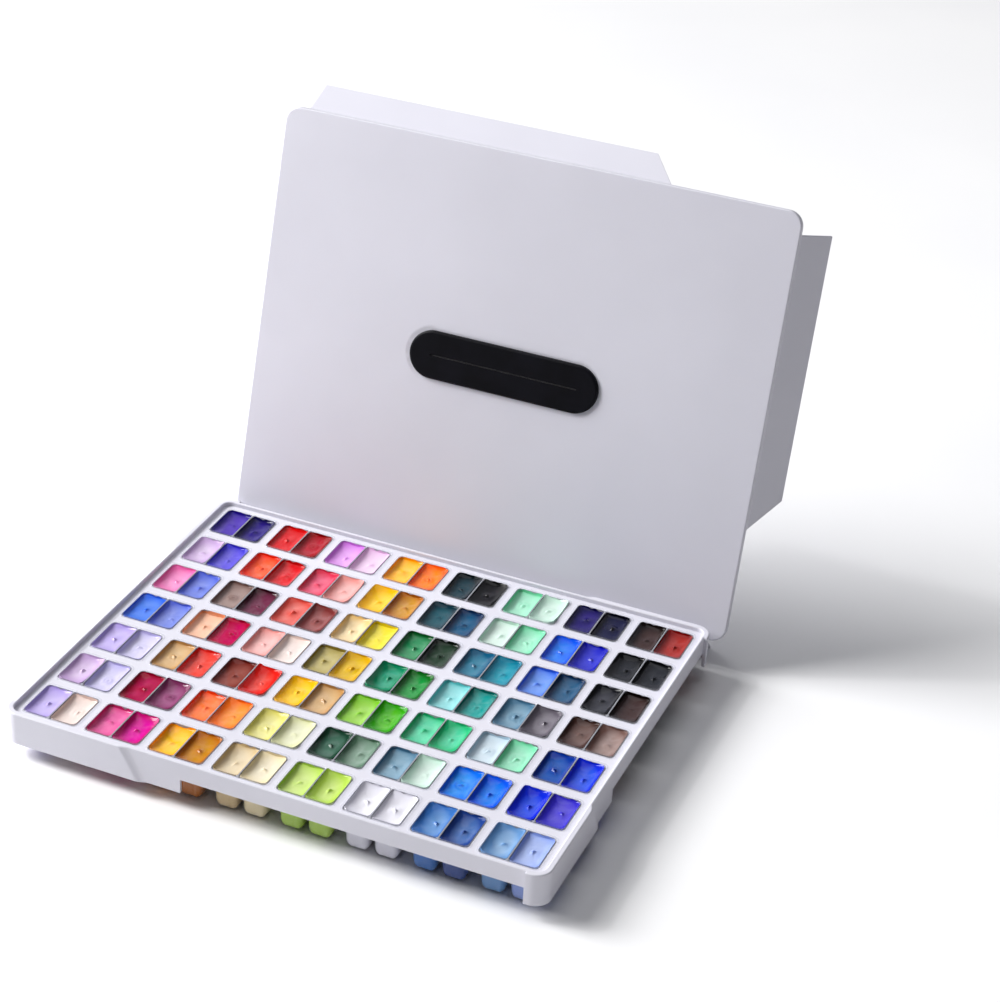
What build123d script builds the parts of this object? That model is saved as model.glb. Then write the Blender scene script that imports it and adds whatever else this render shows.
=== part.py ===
"""Gouache paint set box: a tray of twin paint cups, with its lift-off lid standing behind it.

Units are millimetres. +Z is up and the ground is Z = 0. The origin is the middle of the ground area that
the tray and the standing lid take up together. The front of the tray faces -Y.
"""

import os
from math import cos, radians, sin, tan

from build123d import *

os.makedirs("parts", exist_ok=True)

# Grid of cups
columns = 8
rows = 7
column_pitch = 42.0
row_pitch = 38.2

# Tray
pocket_length = 36.6
pocket_width = 30.6
pocket_corner_cut = 1.6
deck_border = 8.7
deck_thickness = 2.0
rim_height = 3.0
case_corner_radius = 10.0
tray_wall = 2.0
recess_depth = 2.0
skirt_height = 12.0
leg_height = 21.5
short_leg = 13.0
long_leg_on_length = 85.0
long_leg_on_width = 74.0
leg_slant = 12.0
backing_beyond_leg = 22.0
rib_thickness = 1.6
rib_depth = 7.0

# Lid
lid_wall = 2.0
lid_band = 4.5
flap_depth = 25.0
flap_flare = 14.0
flap_slant = 18.0
flap_end_clearance = 1.0
lid_lean = 15.5
lid_gap = 3.0
lid_shift = 6.5

# Slotted rubber pad in the lid
pad_length = 130.0
pad_width = 31.5
pad_seat_depth = 0.8
pad_proud = 2.2
pad_edge_cut = 1.0
pad_neck_inset = 3.0
pad_lip_overlap = 1.5
pad_lip_thickness = 1.2
slit_length = 102.0
slit_width = 0.8
dish_border = 4.0

# Twin cups
cup_clearance = 1.0
cup_depth = 29.0
cup_wall = 0.8
cup_draft = 3.0
flange_overlap = 1.0
flange_thickness = 0.8
flange_corner_cut = 3.0
well_gap = 0.8
floor_bevel = 3.0

# Paint
headspace = 3.5
paint_film_gap = 0.05

# Sizes that follow
case_length = (columns - 1) * column_pitch + pocket_length + 2 * deck_border
case_width = (rows - 1) * row_pitch + pocket_width + 2 * deck_border
deck_top = cup_depth
deck_bottom = deck_top - deck_thickness
rim_top = deck_top + rim_height
leg_bottom = rim_top - leg_height
skirt_bottom = rim_top - skirt_height
deck_inset = recess_depth + tray_wall / 2
flange_top = deck_top + flange_thickness
body_length = pocket_length - 2 * cup_clearance
body_width = pocket_width - 2 * cup_clearance
well_length = (body_length - well_gap) / 2
lean = radians(lid_lean)

# Where the tray and the lid are: the lid stands on the edge of its lower flap, behind the tray
lid_reach = lid_gap + flap_depth * cos(lean) + (case_width + flap_flare) * sin(lean)
tray_ground = Plane(origin=(-lid_shift, -lid_reach / 2, 0))
lid_edge_y = tray_ground.origin.Y + case_width / 2 + lid_gap
lid_edge_z = flap_depth * sin(lean) + flap_flare * cos(lean)
lid_face = Plane(
    origin=(
        0,
        lid_edge_y + case_width / 2 * sin(lean),
        lid_edge_z + case_width / 2 * cos(lean),
    ),
    x_dir=(1, 0, 0),
    z_dir=(0, -cos(lean), sin(lean)),
)


def case_sides(face):
    """Yields the case's four sides, in order round it: plane facing out, length, long leg.

    On each plane x runs along the side, from its long leg to its short leg, and y is the height above face.
    """
    for turn in range(4):
        lengthwise = turn % 2 == 0
        length, across = (case_length, case_width) if lengthwise else (case_width, case_length)
        long_leg = long_leg_on_length if lengthwise else long_leg_on_width
        turned = Plane(face.location * Rotation(0, 0, 90 * turn))
        middle = turned.from_local_coords(Vector(0, -across / 2, 0))
        yield Plane(origin=middle, x_dir=turned.x_dir, z_dir=-turned.y_dir), length, long_leg


# Outline of a pocket in the deck
with BuildSketch() as pocket:
    Rectangle(pocket_length, pocket_width)
    chamfer(pocket.vertices(), pocket_corner_cut)

# Tray: legs round the corners, a skirt recessed between them, and the ribbed deck with its pockets
with BuildPart() as tray:
    with BuildSketch(tray_ground.offset(leg_bottom)):
        RectangleRounded(case_length, case_width, case_corner_radius)
        offset(amount=-tray_wall, mode=Mode.SUBTRACT)
    extrude(amount=leg_height)
    for side, length, long_leg in case_sides(tray_ground):
        with BuildSketch(side):
            with BuildLine():
                Polyline(
                    (-length / 2 + long_leg, rim_top),
                    (-length / 2 + long_leg + leg_slant, leg_bottom),
                    (length / 2 - short_leg, leg_bottom),
                    (length / 2 - short_leg, rim_top),
                    close=True,
                )
            make_face()
        extrude(amount=-tray_wall, mode=Mode.SUBTRACT)
    with BuildSketch(tray_ground.offset(skirt_bottom)):
        RectangleRounded(
            case_length - 2 * recess_depth,
            case_width - 2 * recess_depth,
            case_corner_radius - recess_depth,
        )
        offset(amount=-tray_wall, mode=Mode.SUBTRACT)
    extrude(amount=skirt_height)
    for side, length, long_leg in case_sides(tray_ground):
        backing_start = -length / 2 + long_leg - tray_wall
        backing_end = -length / 2 + long_leg + leg_slant + backing_beyond_leg
        with BuildSketch(side.offset(-recess_depth)):
            with Locations((backing_start, leg_bottom)):
                Rectangle(
                    backing_end - backing_start,
                    skirt_bottom - leg_bottom,
                    align=(Align.MIN, Align.MIN),
                )
        extrude(amount=-tray_wall)
    with BuildSketch(tray_ground.offset(deck_bottom)):
        RectangleRounded(
            case_length - 2 * deck_inset,
            case_width - 2 * deck_inset,
            case_corner_radius - deck_inset,
        )
        with GridLocations(column_pitch, row_pitch, columns, rows):
            add(pocket.sketch, mode=Mode.SUBTRACT)
    extrude(amount=deck_thickness)
    with BuildSketch(tray_ground.offset(deck_bottom)):
        with GridLocations(column_pitch, row_pitch, columns - 1, 1):
            Rectangle(rib_thickness, case_width - 2 * deck_inset)
        with GridLocations(column_pitch, row_pitch, 1, rows - 1):
            Rectangle(case_length - 2 * deck_inset, rib_thickness)
    extrude(amount=-rib_depth)
tray.part.label = "tray"
export_step(tray.part, "parts/tray.step")

# Lid: a flat panel with a shallow band round it, four splayed flaps and a dished opening for the pad
with BuildPart() as lid:
    with BuildSketch(lid_face):
        RectangleRounded(case_length, case_width, case_corner_radius)
    extrude(amount=-lid_band)
    with BuildSketch(lid_face.offset(-lid_band)):
        RectangleRounded(
            case_length - 2 * lid_wall,
            case_width - 2 * lid_wall,
            case_corner_radius - lid_wall,
        )
    extrude(amount=lid_band - lid_wall, mode=Mode.SUBTRACT)
    for side, length, long_leg in case_sides(lid_face):
        flap_start = -length / 2 + long_leg + flap_end_clearance
        flap_end = length / 2 - short_leg - flap_end_clearance
        start_point = side.from_local_coords(Vector(flap_start, 0, 0))
        with BuildSketch(Plane(origin=start_point, x_dir=side.z_dir, z_dir=-side.x_dir)):
            with BuildLine():
                Polyline(
                    (0, -lid_band),
                    (flap_flare, -flap_depth),
                    (flap_flare - lid_wall, -flap_depth),
                    (-lid_wall, -lid_band),
                    close=True,
                )
            make_face()
        extrude(amount=flap_start - flap_end)
        with BuildSketch(side.offset(flap_flare)):
            with BuildLine():
                Polyline(
                    (flap_start, -lid_band),
                    (flap_start, -flap_depth),
                    (flap_start + flap_slant, -flap_depth),
                    close=True,
                )
            make_face()
        extrude(amount=-flap_flare - lid_wall, mode=Mode.SUBTRACT)
    with BuildSketch(lid_face):
        SlotOverall(pad_length + 2 * dish_border, pad_width + 2 * dish_border)
    with BuildSketch(lid_face.offset(-pad_seat_depth)):
        SlotOverall(pad_length, pad_width)
    loft(mode=Mode.SUBTRACT)
    with BuildSketch(lid_face):
        SlotOverall(pad_length - 2 * pad_neck_inset, pad_width - 2 * pad_neck_inset)
    extrude(amount=-lid_wall, mode=Mode.SUBTRACT)
lid.part.label = "lid"
export_step(lid.part, "parts/lid.step")

# Rubber pad: a pill-shaped head in the dish, a neck through the panel and a lip behind it, slit lengthwise
with BuildPart() as pad:
    with BuildSketch(lid_face.offset(pad_proud)):
        SlotOverall(pad_length, pad_width)
    extrude(amount=-pad_proud - pad_seat_depth)
    chamfer(pad.faces().sort_by(Axis(lid_face.origin, lid_face.z_dir))[-1].edges(), pad_edge_cut)
    with BuildSketch(lid_face.offset(-pad_seat_depth)):
        SlotOverall(pad_length - 2 * pad_neck_inset, pad_width - 2 * pad_neck_inset)
    extrude(amount=pad_seat_depth - lid_wall)
    with BuildSketch(lid_face.offset(-lid_wall)):
        SlotOverall(
            pad_length - 2 * (pad_neck_inset - pad_lip_overlap),
            pad_width - 2 * (pad_neck_inset - pad_lip_overlap),
        )
    extrude(amount=-pad_lip_thickness)
    with BuildSketch(lid_face.offset(pad_proud)):
        SlotOverall(slit_length, slit_width)
    extrude(amount=-pad_proud - lid_wall - pad_lip_thickness, mode=Mode.SUBTRACT)
pad.part.label = "slotted_pad"
export_step(pad.part, "parts/slotted_pad.step")


def well_outline(width, top, inset):
    """Corners of a drafted, bevelled profile that lies that far inside a well of that width at the deck."""
    def half_width(height):
        return width / 2 - inset - (deck_top - height) * tan(radians(cup_draft))

    right = [
        (half_width(inset) - floor_bevel, inset),
        (half_width(inset + floor_bevel), inset + floor_bevel),
        (half_width(top), top),
    ]
    return right + [(-x, z) for x, z in reversed(right)]


def well_blocks(top, inset):
    """Two blocks that fill the twin wells up to that height, that far inside the outside of the cup."""
    with BuildPart() as blocks:
        with BuildSketch(Plane.XZ):
            with GridLocations(well_length + well_gap, 0, 2, 1):
                Polygon(*well_outline(well_length, top, inset), align=None)
        extrude(amount=body_width, both=True)
        with BuildSketch(Plane.YZ):
            Polygon(*well_outline(body_width, top, inset), align=None)
        extrude(amount=body_length, both=True, mode=Mode.INTERSECT)
    return blocks.part


# Twin cup: two open wells under one thin flange, which rests on the deck, with a fill of paint in each well
wells_outside = well_blocks(deck_top, 0)
wells_inside = well_blocks(flange_top, cup_wall)
paint_fills = well_blocks(flange_top - headspace, cup_wall + paint_film_gap)
with BuildPart() as filled_cup:
    with BuildSketch(Plane.XY.offset(deck_top)):
        Rectangle(pocket_length + 2 * flange_overlap, pocket_width + 2 * flange_overlap)
        chamfer(vertices(), flange_corner_cut)
    extrude(amount=flange_thickness)
    add(wells_outside)
    add(wells_inside, mode=Mode.SUBTRACT)
    add(paint_fills)

# One filled cup in each pocket, counted from the rear left
for row in range(rows):
    for column in range(columns):
        x = (column - (columns - 1) / 2) * column_pitch
        y = ((rows - 1) / 2 - row) * row_pitch
        with BuildPart() as twin_cup:
            with Locations(tray_ground.from_local_coords(Vector(x, y, 0))):
                add(filled_cup.part)
        twin_cup.part.label = f"twin_cup_r{row + 1}_c{column + 1}"
        export_step(twin_cup.part, f"parts/{twin_cup.part.label}.step")
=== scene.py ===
"""Looks of the gouache paint set box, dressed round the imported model.

Sizes and places on the object are in millimetres, and MM turns them into Blender's metres. The camera, the
lights, the floor and the grain of the materials are given in metres.
"""

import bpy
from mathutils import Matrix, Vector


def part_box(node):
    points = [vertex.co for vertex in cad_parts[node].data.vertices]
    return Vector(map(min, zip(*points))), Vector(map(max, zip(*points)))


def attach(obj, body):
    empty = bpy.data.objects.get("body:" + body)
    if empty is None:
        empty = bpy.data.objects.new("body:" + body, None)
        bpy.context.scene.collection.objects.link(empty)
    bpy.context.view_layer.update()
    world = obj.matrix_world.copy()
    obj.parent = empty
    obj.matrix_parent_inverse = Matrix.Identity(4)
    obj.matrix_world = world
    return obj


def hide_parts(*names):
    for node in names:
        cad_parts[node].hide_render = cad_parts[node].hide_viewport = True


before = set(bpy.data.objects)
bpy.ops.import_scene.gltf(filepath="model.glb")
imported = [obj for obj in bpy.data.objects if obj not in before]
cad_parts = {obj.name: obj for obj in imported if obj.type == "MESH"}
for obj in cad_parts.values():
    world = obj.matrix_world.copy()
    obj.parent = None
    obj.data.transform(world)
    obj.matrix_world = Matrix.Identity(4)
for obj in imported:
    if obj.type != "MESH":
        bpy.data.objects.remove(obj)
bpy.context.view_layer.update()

import random
from math import cos, exp, pi, radians, sin, tan

import bmesh
import bpy
from mathutils import Matrix, Vector, noise

MM = 0.001

# ---------------------------------------------------------------- the case

# As part.py has it
RIM_HEIGHT = 3.0
LID_LEAN = radians(15.5)

# Roundings of its edges
EDGE_ROUNDING = 0.7
RIM_ROUNDING = 0.95
PAD_ROUNDING = 0.6
POCKET_CORNER_ROUNDING = 1.1
DECK_FILLET = 2.2
LEG_END_ROUNDING = 1.2
LEG_END_RAMP = 5.5              # how far the step at the end of a leg is drawn out

# How its edges are told apart
TOUCHING = 0.01                 # what is this near counts as the same point or plane
FLAT_ANGLE = radians(0.5)
SHARP_ANGLE = radians(35)
ROUNDED_FROM = radians(30)      # the lid's edges that turn by more than this are rounded
STEEP = radians(60)             # an edge that turns by more than this isn't one of a slant
PAD_SLANT = (radians(30), radians(60))
SORTING = Vector((0.5774, 0.3012, 0.7589))  # bevels leave points in any order, so they are sorted along this
LEG_END_REACH = 8.0             # a leg's slanted edge runs further than this, both down and along
POCKET_EDGE_HEIGHT = 1.5        # a pocket's corner edges are taller than this
POCKET_EDGE_TURN = pi / 4
POCKET_EDGE_PLAY = 0.05         # in radians, how far their turn may be from that

# ---------------------------------------------------------------- the cups

# The wells nearly fill their pockets and their walls are thin, as in the photo. The solids leave more room.
CUP_OVERLAP = 2.6               # how much longer and wider the flange is than the wells
WELL_GAP = 0.3
WALL = 0.4
DRAFT = tan(radians(3))
LIP = 0.2                       # bevel round the flange's upper edge
SEAT_GAP = 0.03                 # air between the flange and the deck
OUTER_CORNER = 3.2              # corner radii of a well at the top
DIVIDER_CORNER = 1.4
LOW_CORNER = 5.4                # corner radius that all grow to, this far down
LOW_CORNER_DEPTH = 14.0
LEAST_CORNER = 0.6
FLANGE_CORNER = 3.6
SQUARE_CORNER = 0.01
FLOOR_ROUNDING = 6.0
FLOOR_SWEEP = radians(80)       # how much of the rounding into the floor is an arc
FLOOR_FLAT = 1.2                # where the floor is flat, in roundings from the wall
SEAM = 0.3                      # the two halves of a flange meet this near to the middle

CORNER_STEPS = 5
EDGE_STEPS = 5
PROFILE_STEPS = 4
CREASE_ANGLE = radians(50)

# Material slots of a cup's shell
WELLS, FLANGE, DIVIDER = 0, 1, 2

# --------------------------------------------------------------- the paint

SEED = 11
FILM = 0.05                     # gap between the paint and the wall
HEADSPACE = 3.6                 # from the flange down to the paint
LEVEL_SPREAD = (-0.4, 0.8)
CENTRE_SPREAD = ((-0.5, 1.5), (-1.0, 1.8))
FILM_FOOT = 0.3                 # where the film starts, below the paint's level
REAR_BAND = 1.0                 # the film is ragged this near to the rear wall
SURFACE_RINGS = (0.99, 0.965, 0.92, 0.85, 0.76, 0.66, 0.55, 0.44, 0.34, 0.25, 0.17, 0.11, 0.06, 0.025)

# Layers of the noise, and its features per millimetre
WAVES, RIPPLES, EVEN_FILM, RAGGED_FILM, FINE_RAGGED_FILM = 0, 10, 20, 40, 60
WAVE_SCALE = 0.17
RIPPLE_SCALE = 0.6
EVEN_FILM_SCALE = 0.7
RAGGED_FILM_SCALE = 0.35
FINE_RAGGED_FILM_SCALE = 0.9

# Share of the bare wall that the film covers
EVEN_FILM_COVER, EVEN_FILM_SPREAD = 0.94, 0.05
RAGGED_FILM_COVER, LEAST_FILM_COVER = 0.9, 0.5
FINE_RAGGED_FILM_SHARE = 0.4

# Forms of the surface
RIPPLE, WALL_RIPPLE, WALL_RIPPLE_REACH = 0.1, 0.3, 1.5
MENISCUS_REACH = 1.6
BOWL_LENGTH, BOWL_WIDTH, BOWL_LEVEL = 7, 13, 0.4
MOUND_RADIUS = 4.0
RING_THICKNESS = 0.6
PEAK_LENGTH, PEAK_WIDTH, PEAK_CURL = 1.7, 0.9, 0.25

# Colour of the paint: painted sheen whitens its body, most at middle brightness, and painted shade deepens it
# where it films the wall and low in the well, under the tray
LUMINANCE = (0.2126, 0.7152, 0.0722)
BODY = 0.93
# Painted sheen: how far the body is whitened, as if by a broad gloss
PAINTED_SHEEN = 0.4
BODY_SHADE = 0.9
# Painted shade: how much deeper its colour is, and how uneven its edge is
PAINTED_SHADE_POWER = 1.7
PAINTED_SHADE_UNEVENNESS = 1.2
# Share of the painted shade's deeper colour at a height, from the floor up to the brink of the cup: low in
# the well, in the tray's shadow, and on the film up the wall
PAINTED_SHADE_HEIGHTS = ((0.0, 1.0), (0.80, 1.0), (0.84, 0.0), (0.90, 0.0), (0.955, 1.0))

# Named pigments
PIGMENTS = {
    "white": "#e8e7ee", "cream": "#ece2c8", "beige": "#dccbaa", "sand": "#ecd3a2",
    "straw": "#e4df98", "lemon": "#ecdc30", "yellow": "#f3cc08", "golden": "#f9bf0c",
    "mustard": "#e0c024", "ochre": "#c98f22", "orange": "#f78a00", "tangerine": "#f4742c",
    "apricot": "#f59c44", "peach": "#eebc9e", "coral": "#e4483c", "vermilion": "#ee5412",
    "red": "#d8141e", "crimson": "#b40c28", "raspberry": "#b8145c", "brick": "#a82820",
    "salmon": "#e07a70", "rose": "#e0587a", "shell_pink": "#ecb6b2", "pink": "#e88cc0",
    "pale_pink": "#ecd0ea", "blush": "#ecdcd6", "fuchsia": "#d4149a", "hot_pink": "#dc5a9c",
    "magenta": "#c60a64", "mauve": "#a05c86", "orchid": "#dda0e6", "plum": "#6c2a46",
    "lilac": "#d4c0de", "lavender": "#c8bce6", "pale_lavender": "#d0cbea", "violet": "#665cd4",
    "purple": "#5038aa", "indigo": "#281878", "periwinkle": "#7c8cda", "pale_periwinkle": "#b2c2ec",
    "cornflower": "#6090e4", "blue": "#1a62b6", "royal": "#2c55dc", "ultramarine": "#3238c8",
    "navy": "#14173f", "azure": "#1480e6", "sky": "#1e96ea", "steel": "#689ad0",
    "pale_steel": "#90b4d8", "denim": "#4a6fae", "slate": "#285a80", "dark_slate": "#3a3b44",
    "charcoal": "#22252c", "black": "#17171d", "grey_blue": "#7aa0b6", "warm_grey": "#8e8992",
    "ink_teal": "#0c3642", "deep_teal": "#085c6a", "sea": "#08567e", "steel_teal": "#2c829e",
    "turquoise": "#129eb2", "pale_turquoise": "#8cd6d8", "teal": "#129c96", "mint": "#a0e2c4",
    "pale_mint": "#d6eae0", "mint_green": "#4ccc9e", "emerald": "#12a684", "viridian": "#0c8850",
    "green": "#12923c", "leaf": "#5ebc28", "lime": "#a0d250", "pale_lime": "#c8de80",
    "olive": "#223c2a", "grey_green": "#84a08e", "dark_sage": "#3c6c58", "pale_sage": "#e4e5c6",
    "khaki": "#b4a660", "tan": "#d2b080", "brown": "#964a3e", "dark_brown": "#3c2826",
    "umber": "#6e544e", "taupe": "#9c847e", "rosewood": "#a05e5c", "ice": "#cedee8",
}

# The pair of pigments in each cup, row by row from the rear and from the left
LAYOUT = [
    "purple indigo, red crimson, orchid pale_pink, golden orange, "
    "ink_teal black, mint pale_mint, indigo navy, dark_brown brick",
    "lilac violet, vermilion red, rose shell_pink, yellow ochre, "
    "deep_teal sea, pale_mint mint, azure ultramarine, charcoal charcoal",
    "pink periwinkle, taupe plum, salmon rosewood, sand lemon, "
    "viridian olive, steel_teal turquoise, cornflower slate, dark_slate dark_brown",
    "cornflower periwinkle, peach magenta, shell_pink blush, khaki mustard, "
    "emerald green, pale_turquoise teal, grey_blue warm_grey, umber taupe",
    "lavender pale_lavender, tan coral, brown coral, yellow tan, "
    "lime leaf, mint_green mint_green, ice mint, blue royal",
    "lilac pale_lavender, raspberry mauve, tangerine apricot, straw pale_sage, "
    "dark_sage grey_green, grey_blue pale_mint, sky azure, royal violet",
    "lavender blush, hot_pink fuchsia, golden ochre, beige cream, "
    "pale_lime pale_lime, white white, steel denim, pale_steel pale_periwinkle",
]

# --------------------------------------------------------------- the stage

CAMERA_AZIMUTH = radians(23.12)
CAMERA_ELEVATION = radians(31.08)
CAMERA_ROLL = radians(2.35)
CAMERA_DISTANCE = 1.760
CAMERA_TARGET = Vector((-0.0474, 0.1398, 0.029))
SENSOR_WIDTH = 36
LENS = 94.06
SHIFT = (0.0626, 0.0102)

FLOOR_REACH = 6.0
SKY_COLOUR = (0.95, 0.96, 1.0, 1.0)
SKY_STRENGTH = 0.1
KEY = (-0.75, -0.15, 0.70)
# Name, kind, direction from the object, distance, strength, colour and the settings of its kind
LIGHTS = [
    ("key", "SUN", KEY, 2.0, 2.4, (1.0, 0.995, 0.985), {"angle": radians(30)}),
    ("glint", "SUN", KEY, 2.0, 0.35, (1.0, 1.0, 1.0), {"angle": radians(3)}),
    ("near", "AREA", (-0.75, -0.28, 0.6), 1.1, 5.0, (1.0, 0.995, 0.99), {"shape": "DISK", "size": 0.5}),
    ("side", "AREA", (-1.0, 0.1, 0.35), 2.5, 41.0, (0.97, 0.98, 1.0), {"shape": "DISK", "size": 2.0}),
    ("top", "AREA", (0.0, 0.2, 1.0), 2.0, 7.5, (0.96, 0.97, 1.0), {"shape": "DISK", "size": 1.5}),
]


# ---------------------------------------------------------------- materials

def linear(hex_colour):
    """The linear RGBA of a colour written as #rrggbb."""
    parts = [int(hex_colour[i:i + 2], 16) / 255 for i in (1, 3, 5)]
    return [p / 12.92 if p <= 0.04045 else ((p + 0.055) / 1.055) ** 2.4 for p in parts] + [1.0]


def changed(colour, change):
    """A colour with its red, green and blue changed, and its alpha left."""
    return [change(part) for part in colour[:3]] + colour[3:]


def new_material(name):
    material = bpy.data.materials.new(name)
    material.use_nodes = True
    tree = material.node_tree
    return material, tree, tree.nodes["Principled BSDF"]


def new_node(tree, kind, **inputs):
    """A node with its inputs set; an underscore in a name stands for a space."""
    node = tree.nodes.new(kind)
    for name, value in inputs.items():
        node.inputs[name.replace("_", " ")].default_value = value
    return node


def new_math(tree, operation, second):
    """A maths node with its second value set."""
    node = tree.nodes.new("ShaderNodeMath")
    node.operation = operation
    node.inputs[1].default_value = second
    return node


def set_shader(shader, **inputs):
    for name, value in inputs.items():
        shader.inputs[name.replace("_", " ")].default_value = value


def noise_bump(tree, shader, scale, distance, detail, strength):
    """Links a noise of that scale, in features per metre, to the shader's normal. Gives its coordinates."""
    place = new_node(tree, "ShaderNodeTexCoord")
    grain = new_node(tree, "ShaderNodeTexNoise", Scale=scale, Detail=detail)
    bump = new_node(tree, "ShaderNodeBump", Strength=strength, Distance=distance)
    tree.links.new(place.outputs["Object"], grain.inputs["Vector"])
    tree.links.new(grain.outputs["Fac"], bump.inputs["Height"])
    tree.links.new(bump.outputs["Normal"], shader.inputs["Normal"])
    return place


def mottled(tree, shader, place, scale, dark, light, low=0.35, high=0.65):
    """Mixes two colours by a soft noise into the shader's base colour. Gives the noise and the mix."""
    cloud = new_node(tree, "ShaderNodeTexNoise", Scale=scale, Detail=3.0)
    ramp = new_node(tree, "ShaderNodeValToRGB")
    for stop, position, colour in zip(ramp.color_ramp.elements, (low, high), (dark, light)):
        stop.position = position
        stop.color = colour
    tree.links.new(place.outputs["Object"], cloud.inputs["Vector"])
    tree.links.new(cloud.outputs["Fac"], ramp.inputs["Fac"])
    tree.links.new(ramp.outputs["Color"], shader.inputs["Base Color"])
    return cloud, ramp


def white_plastic():
    """Semi-gloss white moulding, with faint flow marks and a fine grain."""
    material, tree, shader = new_material("white_plastic")
    place = noise_bump(tree, shader, scale=2600.0, distance=0.00003, detail=2.0, strength=0.3)
    mottled(tree, shader, place, 9.0, linear("#d2d1db"), linear("#d7d6e0"))
    set_shader(shader, Roughness=0.42, Subsurface_Weight=0.1, Subsurface_Radius=(1.0, 0.95, 0.9),
               Subsurface_Scale=0.0015)
    return material


def black_rubber():
    """Dull black rubber, slightly clouded, with a fine grain."""
    material, tree, shader = new_material("black_rubber")
    place = noise_bump(tree, shader, scale=1800.0, distance=0.00005, detail=3.0, strength=0.4)
    mottled(tree, shader, place, 60.0, linear("#08080d"), linear("#0d0d14"))
    set_shader(shader, Roughness=0.45, Specular_IOR_Level=0.1)
    return material


def clear_plastic(name, alpha, dark, light):
    """Thin plastic that lets most of the light through, with a clean gloss."""
    material, tree, shader = new_material(name)
    place = noise_bump(tree, shader, scale=300.0, distance=0.00004, detail=2.0, strength=0.4)
    mottled(tree, shader, place, 90.0, linear(dark), linear(light))
    set_shader(shader, Roughness=0.08, Alpha=alpha, IOR=1.49)
    return material


def paint(name, brink):
    """Wet gouache of a named pigment, with painted shade that deepens its colour up the wall and low in the
    well, and a painted sheen that whitens its body.
    """
    material, tree, shader = new_material("paint_" + name)
    pigment = linear(PIGMENTS[name])
    bright = sum(weight * part for weight, part in zip(LUMINANCE, pigment))
    # Painted sheen: the body is whitened, most at middle brightness
    body = changed(pigment, lambda part: BODY * (part + (1 - part) * PAINTED_SHEEN * bright * (1 - bright)))
    shade = changed(pigment, lambda part: BODY_SHADE * part)
    place = noise_bump(tree, shader, scale=500.0, distance=0.0003, detail=3.0, strength=0.2)
    cloud, middle = mottled(tree, shader, place, 120.0, shade, body, low=0.35, high=0.6)
    cloud.inputs["Distortion"].default_value = 0.6

    # Painted shade: a ramp on the height, made uneven by the noise, blends in the deeper colour
    height = new_node(tree, "ShaderNodeSeparateXYZ")
    uneven = new_math(tree, "MULTIPLY_ADD", PAINTED_SHADE_UNEVENNESS * MM)
    share = new_math(tree, "DIVIDE", brink * MM)
    depth = new_node(tree, "ShaderNodeValToRGB")
    stops = depth.color_ramp.elements
    while len(stops) < len(PAINTED_SHADE_HEIGHTS):
        stops.new(0.5)
    for stop, (position, value) in zip(stops, PAINTED_SHADE_HEIGHTS):
        stop.position = position
        stop.color = (value, value, value, 1.0)
    blend = new_node(tree, "ShaderNodeMix")
    blend.data_type = "RGBA"
    blend.inputs["B"].default_value = changed(pigment, lambda part: part ** PAINTED_SHADE_POWER)

    tree.links.new(place.outputs["Object"], height.inputs["Vector"])
    tree.links.new(cloud.outputs["Fac"], uneven.inputs[0])
    tree.links.new(height.outputs["Z"], uneven.inputs[2])
    tree.links.new(uneven.outputs["Value"], share.inputs[0])
    tree.links.new(share.outputs["Value"], depth.inputs["Fac"])
    tree.links.new(depth.outputs["Color"], blend.inputs["Factor"])
    tree.links.new(middle.outputs["Color"], blend.inputs["A"])
    tree.links.new(blend.outputs["Result"], shader.inputs["Base Color"])
    set_shader(shader, Roughness=0.2, Specular_IOR_Level=0.1, Coat_Weight=0.3, Coat_Roughness=0.04)
    return material


# ------------------------------------------------------------- making pieces

def set_piece(name, mesh, body, node, place=(0, 0, 0)):
    """Puts a piece in the scene, on its body, in place of its node."""
    piece = bpy.data.objects.new(name, mesh)
    piece.location = place
    bpy.context.scene.collection.objects.link(piece)
    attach(piece, body)
    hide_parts(node)
    return piece


class Shape:
    """Collects rings of points and the faces between them."""

    def __init__(self):
        self.points, self.faces, self.slots = [], [], []

    def ring(self, points):
        start = len(self.points)
        self.points += points
        return list(range(start, start + len(points)))

    def face(self, corners, slot):
        self.faces.append(corners)
        self.slots.append(slot)

    def bridge(self, lower, upper, slot, skip=None):
        """Joins two rings of as many points, with faces outward when both run counter-clockwise.

        skip tells from the two lower points of a face that it is left out.
        """
        count = len(lower)
        for i in range(count):
            j = (i + 1) % count
            if not (skip and skip(self.points[lower[i]], self.points[lower[j]])):
                self.face([lower[i], lower[j], upper[j], upper[i]], slot)

    def mesh(self, name, materials):
        mesh = bpy.data.meshes.new(name)
        mesh.from_pydata([[v * MM for v in p] for p in self.points], [], self.faces)
        mesh.polygons.foreach_set("material_index", self.slots)
        mesh.polygons.foreach_set("use_smooth", [True] * len(self.faces))
        for material in materials:
            mesh.materials.append(material)
        mesh.set_sharp_from_angle(angle=CREASE_ANGLE)
        return mesh


def rounded_loop(x0, x1, y0, y1, z, radii):
    """Points counter-clockwise round a rectangle, with a radius for each corner from the front left on."""
    corners = [(x0, y0, 1, 1), (x1, y0, -1, 1), (x1, y1, -1, -1), (x0, y1, 1, -1)]
    arcs = []
    for quarter, ((x, y, right, up), r) in enumerate(zip(corners, radii)):
        angles = [pi + (quarter + step / CORNER_STEPS) * pi / 2 for step in range(CORNER_STEPS + 1)]
        arcs.append([(x + right * r + r * cos(a), y + up * r + r * sin(a)) for a in angles])
    points = []
    for arc, following in zip(arcs, arcs[1:] + arcs[:1]):
        points += arc
        (xa, ya), (xb, yb) = arc[-1], following[0]
        for step in range(1, EDGE_STEPS):
            share = step / EDGE_STEPS
            points.append((xa + (xb - xa) * share, ya + (yb - ya) * share))
    return [(x, y, z) for x, y in points]


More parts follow.
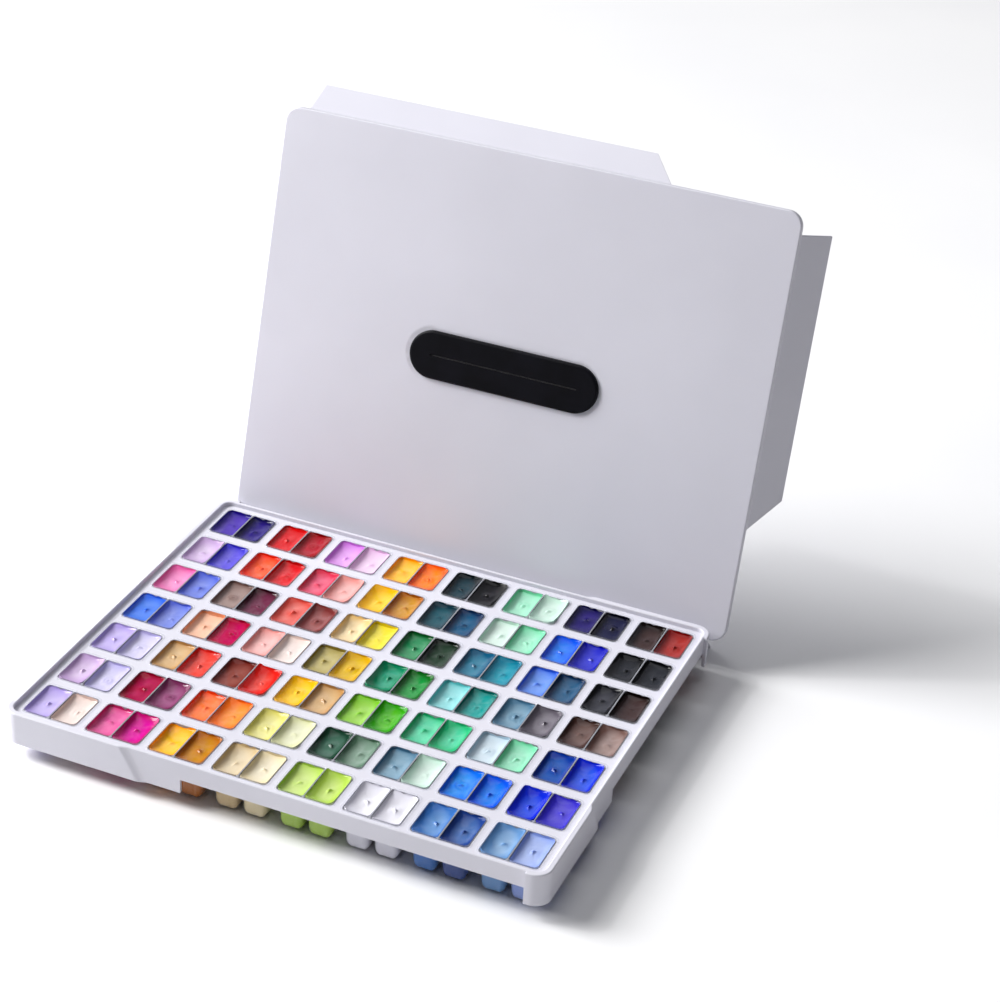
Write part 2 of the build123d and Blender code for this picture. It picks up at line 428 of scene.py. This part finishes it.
# ----------------------------------------------------------------- the cups

def on_seam(a, b):
    """Whether an edge of the flange lies between the two wells."""
    return abs(a[0]) < SEAM and abs(b[0]) < SEAM


def off_seam(a, b):
    """Whether it lies anywhere else on the flange."""
    return not on_seam(a, b)


class Cup:
    """Sizes of a twin cup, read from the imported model. Its middle is at x = y = 0."""

    def __init__(self):
        low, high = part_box("twin_cup_r1_c1")
        self.length, self.width = [(high[i] - low[i]) / MM for i in (0, 1)]
        self.top = high[2] / MM
        self.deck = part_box("tray")[1][2] / MM - RIM_HEIGHT

    def well_loop(self, side, inset, z):
        """The outline of one well at height z, that far inside its outside. side is -1 or 1."""
        depth = max(self.deck - z, 0)
        inset += depth * DRAFT
        outer = (self.length - CUP_OVERLAP) / 2 - inset
        inner = WELL_GAP / 2 + inset
        half = (self.width - CUP_OVERLAP) / 2 - inset
        low = min(depth / LOW_CORNER_DEPTH, 1)
        big, small = [max(top + (LOW_CORNER - top) * low - inset, LEAST_CORNER)
                      for top in (OUTER_CORNER, DIVIDER_CORNER)]
        if side < 0:
            return rounded_loop(-outer, -inner, -half, half, z, (big, small, small, big))
        return rounded_loop(inner, outer, -half, half, z, (small, big, big, small))

    def well_rings(self, shape, side, inset, top, floor):
        """Adds the rings down a well's wall and round into its floor."""
        profile = [(inset, top + (floor + FLOOR_ROUNDING - top) * step / PROFILE_STEPS)
                   for step in range(PROFILE_STEPS)]
        for step in range(PROFILE_STEPS + 1):
            angle = step / PROFILE_STEPS * FLOOR_SWEEP
            profile.append((inset + FLOOR_ROUNDING * (1 - cos(angle)),
                            floor + FLOOR_ROUNDING * (1 - sin(angle))))
        profile.append((inset + FLOOR_ROUNDING * FLOOR_FLAT, floor))
        return [shape.ring(self.well_loop(side, i, z)) for i, z in profile]

    def flange_loop(self, side, z, lip=0):
        """The outline of one half of the flange, drawn in by lip but not at the seam."""
        x0, x1 = sorted((0, side * self.length / 2))
        half = self.width / 2 - lip
        if side < 0:
            radii = (FLANGE_CORNER, SQUARE_CORNER, SQUARE_CORNER, FLANGE_CORNER)
            return rounded_loop(x0 + lip, x1, -half, half, z, radii)
        radii = (SQUARE_CORNER, FLANGE_CORNER, FLANGE_CORNER, SQUARE_CORNER)
        return rounded_loop(x0, x1 - lip, -half, half, z, radii)

    def shell(self):
        """The clear plastic: a flange with two wells hanging from it."""
        shape = Shape()
        bottom = self.deck + SEAT_GAP
        for side in (-1, 1):
            under = shape.ring(self.flange_loop(side, bottom))
            edge = shape.ring(self.flange_loop(side, self.top - LIP))
            top = shape.ring(self.flange_loop(side, self.top, LIP))
            mouth = shape.ring(self.well_loop(side, WALL - LIP, self.top))
            outside = self.well_rings(shape, side, 0, bottom, 0)
            inside = self.well_rings(shape, side, WALL, self.top - LIP, WALL)
            shape.bridge(outside[0], under, FLANGE)
            shape.bridge(under, edge, FLANGE, skip=on_seam)
            shape.bridge(edge, top, FLANGE, skip=on_seam)
            shape.bridge(top, mouth, FLANGE, skip=on_seam)
            shape.bridge(top, mouth, DIVIDER, skip=off_seam)
            shape.bridge(mouth, inside[0], FLANGE)
            for upper, lower in zip(outside, outside[1:]):
                shape.bridge(lower, upper, WELLS)
            for upper, lower in zip(inside, inside[1:]):
                shape.bridge(upper, lower, WELLS)
            shape.face(outside[-1][::-1], WELLS)
            shape.face(inside[-1], WELLS)
        return shape

    def fill(self, shape, side, slot, rng):
        """One well's paint: a film that climbs the walls, and a peak where the nozzle let go."""
        look = PaintLook(rng)
        level = self.top - HEADSPACE + rng.uniform(*LEVEL_SPREAD)
        inset = WALL + FILM
        middle = side * (self.length - CUP_OVERLAP + WELL_GAP) / 4
        right, up = [rng.uniform(*spread) for spread in CENTRE_SPREAD]
        look.centre = Vector((middle + right, up))
        body = self.well_rings(shape, side, inset, level - FILM_FOOT, inset)
        for upper, lower in zip(body, body[1:]):
            shape.bridge(lower, upper, slot)
        shape.face(body[-1][::-1], slot)
        walls = self.well_loop(side, inset, level)
        climb = self.top - LIP - level
        rear = max(y for x, y, z in walls) - REAR_BAND
        crest = shape.ring([(x, y, level + climb * look.film(x, y, rear)) for x, y, z in walls])
        shape.bridge(body[0], crest, slot)
        for share in SURFACE_RINGS:
            points = []
            for x, y, z in walls:
                spot = look.centre.lerp(Vector((x, y)), share)
                from_wall = (Vector((x, y)) - spot).length
                points.append((spot.x, spot.y, level + look.height(spot, from_wall)))
            ring = shape.ring(points)
            shape.bridge(crest, ring, slot)
            crest = ring
        shape.face(crest, slot)


def hump(distance, width):
    """1 in the middle, falling off smoothly over that width."""
    return exp(-((distance / width) ** 2))


class PaintLook:
    """How one fill of paint has settled."""

    def __init__(self, rng):
        self.seed = rng.uniform(0, 90)
        self.wave = rng.uniform(0.15, 0.5)
        self.meniscus = rng.uniform(0.5, 1.1)           # climb at the walls
        self.mound = rng.uniform(0.2, 0.9)              # broad rise round the peak
        self.peak = rng.choice((0.4, 0.9, 1.2, 1.5))
        self.lean = rng.uniform(-0.6, 1.4)              # way that the peak lies, in radians
        self.bowl = rng.uniform(0.5, 1.5)               # hollow between the walls
        self.ring = rng.choice((0, 0, 0.25, 0.45))      # ridge round the peak, in half of the fills
        self.ring_radius = rng.uniform(2.6, 4.0)
        self.ragged = rng.uniform(0.3, 1.0)             # unevenness of the film's edge

    def noise(self, x, y, scale, layer):
        return noise.noise(Vector((x * scale, y * scale, self.seed + layer)))

    def film(self, x, y, rear):
        """Share of the bare wall that the film covers there: near all of it, but ragged along the rear."""
        if y < rear:
            return EVEN_FILM_COVER + EVEN_FILM_SPREAD * self.noise(x, y, EVEN_FILM_SCALE, EVEN_FILM)
        ragged = (self.noise(x, y, RAGGED_FILM_SCALE, RAGGED_FILM)
                  + FINE_RAGGED_FILM_SHARE * self.noise(x, y, FINE_RAGGED_FILM_SCALE, FINE_RAGGED_FILM))
        return max(LEAST_FILM_COVER, min(1.0, RAGGED_FILM_COVER + self.ragged * ragged))

    def height(self, spot, from_wall):
        """Height of the paint's surface over its level."""
        across = spot - self.centre
        away = across.length
        waves = self.wave * self.noise(spot.x, spot.y, WAVE_SCALE, WAVES)
        ripple = RIPPLE + WALL_RIPPLE * exp(-from_wall / WALL_RIPPLE_REACH)
        ripples = ripple * self.noise(spot.x, spot.y, RIPPLE_SCALE, RIPPLES)
        climb = self.meniscus * exp(-from_wall / MENISCUS_REACH)
        bowl = self.bowl * ((across.x / BOWL_LENGTH) ** 2 + (across.y / BOWL_WIDTH) ** 2 - BOWL_LEVEL)
        mound = self.mound * hump(away, MOUND_RADIUS)
        ring = self.ring * hump(away - self.ring_radius, RING_THICKNESS)
        along = across.x * cos(self.lean) + across.y * sin(self.lean)
        aside = across.y * cos(self.lean) - across.x * sin(self.lean) + PEAK_CURL * along * along
        peak = self.peak * hump(along, PEAK_LENGTH) * hump(aside, PEAK_WIDTH)
        return waves + ripples + climb + bowl + mound + ring + peak


def dress_cups():
    """A clear shell and two fills of paint for every twin cup."""
    rng = random.Random(SEED)
    cup = Cup()
    paints = {name: paint(name, cup.top) for name in PIGMENTS}
    wells = clear_plastic("clear_wells", 0.04, "#c9cedb", "#dfe3ec")
    flange = clear_plastic("clear_flange", 0.13, "#dcdee9", "#eff1f8")
    divider = clear_plastic("clear_divider", 0.4, "#dcdee9", "#eff1f8")
    shell = cup.shell().mesh("cup_shell", [wells, flange, divider])
    for row, line in enumerate(LAYOUT, 1):
        for column, pair in enumerate(line.split(","), 1):
            spot = f"_r{row}_c{column}"
            node, body = "twin_cup" + spot, "cup" + spot
            low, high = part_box(node)
            place = ((low[0] + high[0]) / 2, (low[1] + high[1]) / 2, 0)
            fills = Shape()
            for slot, side in enumerate((-1, 1)):
                cup.fill(fills, side, slot, rng)
            paint_mesh = fills.mesh("paint" + spot, [paints[name] for name in pair.split()])
            set_piece("shell" + spot, shell, body, node, place)
            set_piece("paint" + spot, paint_mesh, body, node, place)


# ----------------------------------------------------------------- the case

def editable(node):
    """A node's solid as a shape to edit, with the facets of each plane joined."""
    shape = bmesh.new()
    shape.from_mesh(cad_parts[node].data)
    bmesh.ops.remove_doubles(shape, verts=shape.verts, dist=TOUCHING * MM)
    bmesh.ops.dissolve_limit(shape, angle_limit=FLAT_ANGLE, verts=shape.verts, edges=shape.edges)
    return shape


def bevel(shape, edges, offset, segments=4):
    bmesh.ops.bevel(shape, geom=edges, offset=offset * MM, segments=segments,
                    profile=0.5, affect="EDGES", clamp_overlap=True)


def round_pocket_corners(shape):
    """Rounds the upright edges where a pocket's corner cuts meet its sides."""
    upright = []
    for edge in shape.edges:
        a, b = [vert.co for vert in edge.verts]
        if (len(edge.link_faces) == 2 and abs(a.z - b.z) > POCKET_EDGE_HEIGHT * MM
                and (a.xy - b.xy).length < TOUCHING * MM
                and abs(edge.calc_face_angle() - POCKET_EDGE_TURN) < POCKET_EDGE_PLAY):
            upright.append(edge)
    bevel(shape, upright, POCKET_CORNER_ROUNDING, segments=3)


def soften_leg_ends(shape):
    """Draws the step at each leg's slanted end out into a shallow ramp with a rounded brow."""
    brows, moves = [], {}
    for edge in shape.edges:
        a, b = [vert.co for vert in edge.verts]
        if not (len(edge.link_faces) == 2 and edge.is_convex and abs(a.z - b.z) > LEG_END_REACH * MM
                and (a.xy - b.xy).length > LEG_END_REACH * MM):
            continue
        end = min(edge.link_faces, key=lambda face: face.calc_area())
        front = max(edge.link_faces, key=lambda face: face.calc_area())
        inward = -(end.normal - end.normal.project(front.normal))
        inward.z = 0
        for vert in edge.verts:
            moves[vert] = inward.normalized() * LEG_END_RAMP * MM
        brows.append(edge)
    for vert, move in moves.items():
        vert.co += move
    shape.normal_update()
    bevel(shape, brows, LEG_END_ROUNDING)


def fillet_deck(shape):
    """Rounds the corner where the deck meets the inside of the rim."""
    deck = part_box("tray")[1][2] - RIM_HEIGHT * MM
    border = [edge for edge in shape.edges
              if len(edge.link_faces) == 2 and not edge.is_convex and edge.calc_face_angle() > STEEP
              and all(abs(vert.co.z - deck) < TOUCHING * MM for vert in edge.verts)]
    bevel(shape, border, DECK_FILLET)


def round_outline(shape, direction, offset, turns=(STEEP, pi)):
    """Rounds the edges of the face that lies furthest in a direction, where they turn by that much."""
    direction = Vector(direction)
    furthest = max(vert.co.dot(direction) for vert in shape.verts)
    on_face = {vert for vert in shape.verts if furthest - vert.co.dot(direction) < TOUCHING * MM}
    outline = [edge for edge in shape.edges
               if set(edge.verts) <= on_face and len(edge.link_faces) == 2
               and turns[0] < edge.calc_face_angle() < turns[1]]
    bevel(shape, outline, offset)


def set_moulding(name, shape, material, body, node, rounding=0):
    """Makes a piece of an edited shape, with its other edges rounded, or sharp if there is no rounding."""
    if not rounding:
        for edge in shape.edges:
            edge.smooth = len(edge.link_faces) < 2 or edge.calc_face_angle() < SHARP_ANGLE
    shape.verts.sort(key=lambda vert: vert.co.dot(SORTING))
    shape.faces.sort(key=lambda face: face.calc_center_median().dot(SORTING))
    mesh = bpy.data.meshes.new(name)
    shape.to_mesh(mesh)
    shape.free()
    mesh.polygons.foreach_set("use_smooth", [True] * len(mesh.polygons))
    mesh.materials.clear()
    mesh.materials.append(material)
    piece = set_piece(name, mesh, body, node)
    if rounding:
        edges = piece.modifiers.new("rounding", "BEVEL")
        edges.width = rounding * MM
        edges.segments = 3
        edges.limit_method = "ANGLE"
        edges.angle_limit = ROUNDED_FROM
        edges.harden_normals = True
    flat = piece.modifiers.new("flat_faces", "WEIGHTED_NORMAL")
    flat.weight = 100
    flat.keep_sharp = not rounding


def dress_case():
    plastic = white_plastic()
    lid_normal = (0, -cos(LID_LEAN), sin(LID_LEAN))

    tray = editable("tray")
    round_pocket_corners(tray)
    soften_leg_ends(tray)
    fillet_deck(tray)
    round_outline(tray, (0, 0, 1), RIM_ROUNDING)
    set_moulding("tray_moulding", tray, plastic, "tray", "tray")

    lid = editable("lid")
    round_outline(lid, lid_normal, RIM_ROUNDING)
    set_moulding("lid_moulding", lid, plastic, "lid", "lid", EDGE_ROUNDING)

    pad = editable("slotted_pad")
    round_outline(pad, lid_normal, PAD_ROUNDING, PAD_SLANT)
    set_moulding("rubber_pad", pad, black_rubber(), "lid", "slotted_pad")


# ---------------------------------------------------------------- the stage

def add_floor():
    mesh = bpy.data.meshes.new("floor")
    corners = [(-1, -1), (1, -1), (1, 1), (-1, 1)]
    mesh.from_pydata([(x * FLOOR_REACH, y * FLOOR_REACH, 0) for x, y in corners], [], [(0, 1, 2, 3)])
    floor = bpy.data.objects.new("floor", mesh)
    bpy.context.scene.collection.objects.link(floor)
    material, tree, shader = new_material("floor")
    place = noise_bump(tree, shader, scale=900.0, distance=0.00002, detail=2.0, strength=0.2)
    mottled(tree, shader, place, 3.0, linear("#f9f9fb"), linear("#fdfdfe"))
    set_shader(shader, Roughness=0.7)
    mesh.materials.append(material)


def add_sky():
    world = bpy.data.worlds.new("world")
    bpy.context.scene.world = world
    world.use_nodes = True
    set_shader(world.node_tree.nodes["Background"], Color=SKY_COLOUR, Strength=SKY_STRENGTH)


def add_light(name, kind, direction, distance, strength, colour, settings):
    light = bpy.data.lights.new(name, kind)
    light.energy, light.color = strength, colour
    for setting, value in settings.items():
        setattr(light, setting, value)
    lamp = bpy.data.objects.new(name, light)
    aim = Vector(direction).normalized()
    lamp.matrix_world = Matrix.Translation(aim * distance) @ aim.to_track_quat("Z", "Y").to_matrix().to_4x4()
    bpy.context.scene.collection.objects.link(lamp)


def add_camera():
    """The photograph's view: azimuth from the front, elevation, and a small roll."""
    camera = bpy.data.objects.new("camera", bpy.data.cameras.new("camera"))
    bpy.context.scene.collection.objects.link(camera)
    azimuth, elevation = CAMERA_AZIMUTH, CAMERA_ELEVATION
    back = Vector((sin(azimuth) * cos(elevation), -cos(azimuth) * cos(elevation), sin(elevation)))
    level = Vector((cos(azimuth), sin(azimuth), 0))
    up = back.cross(level)
    right = level * cos(CAMERA_ROLL) + up * sin(CAMERA_ROLL)
    up = back.cross(right)
    turn = Matrix((right, up, back)).transposed().to_4x4()
    camera.matrix_world = Matrix.Translation(CAMERA_TARGET + back * CAMERA_DISTANCE) @ turn
    camera.data.sensor_width = SENSOR_WIDTH
    camera.data.lens = LENS
    camera.data.shift_x, camera.data.shift_y = SHIFT
    bpy.context.scene.camera = camera


dress_case()
dress_cups()
add_floor()
add_sky()
for light in LIGHTS:
    add_light(*light)
add_camera()
bpy.context.scene.view_settings.view_transform = "Standard"
bpy.context.view_layer.update()
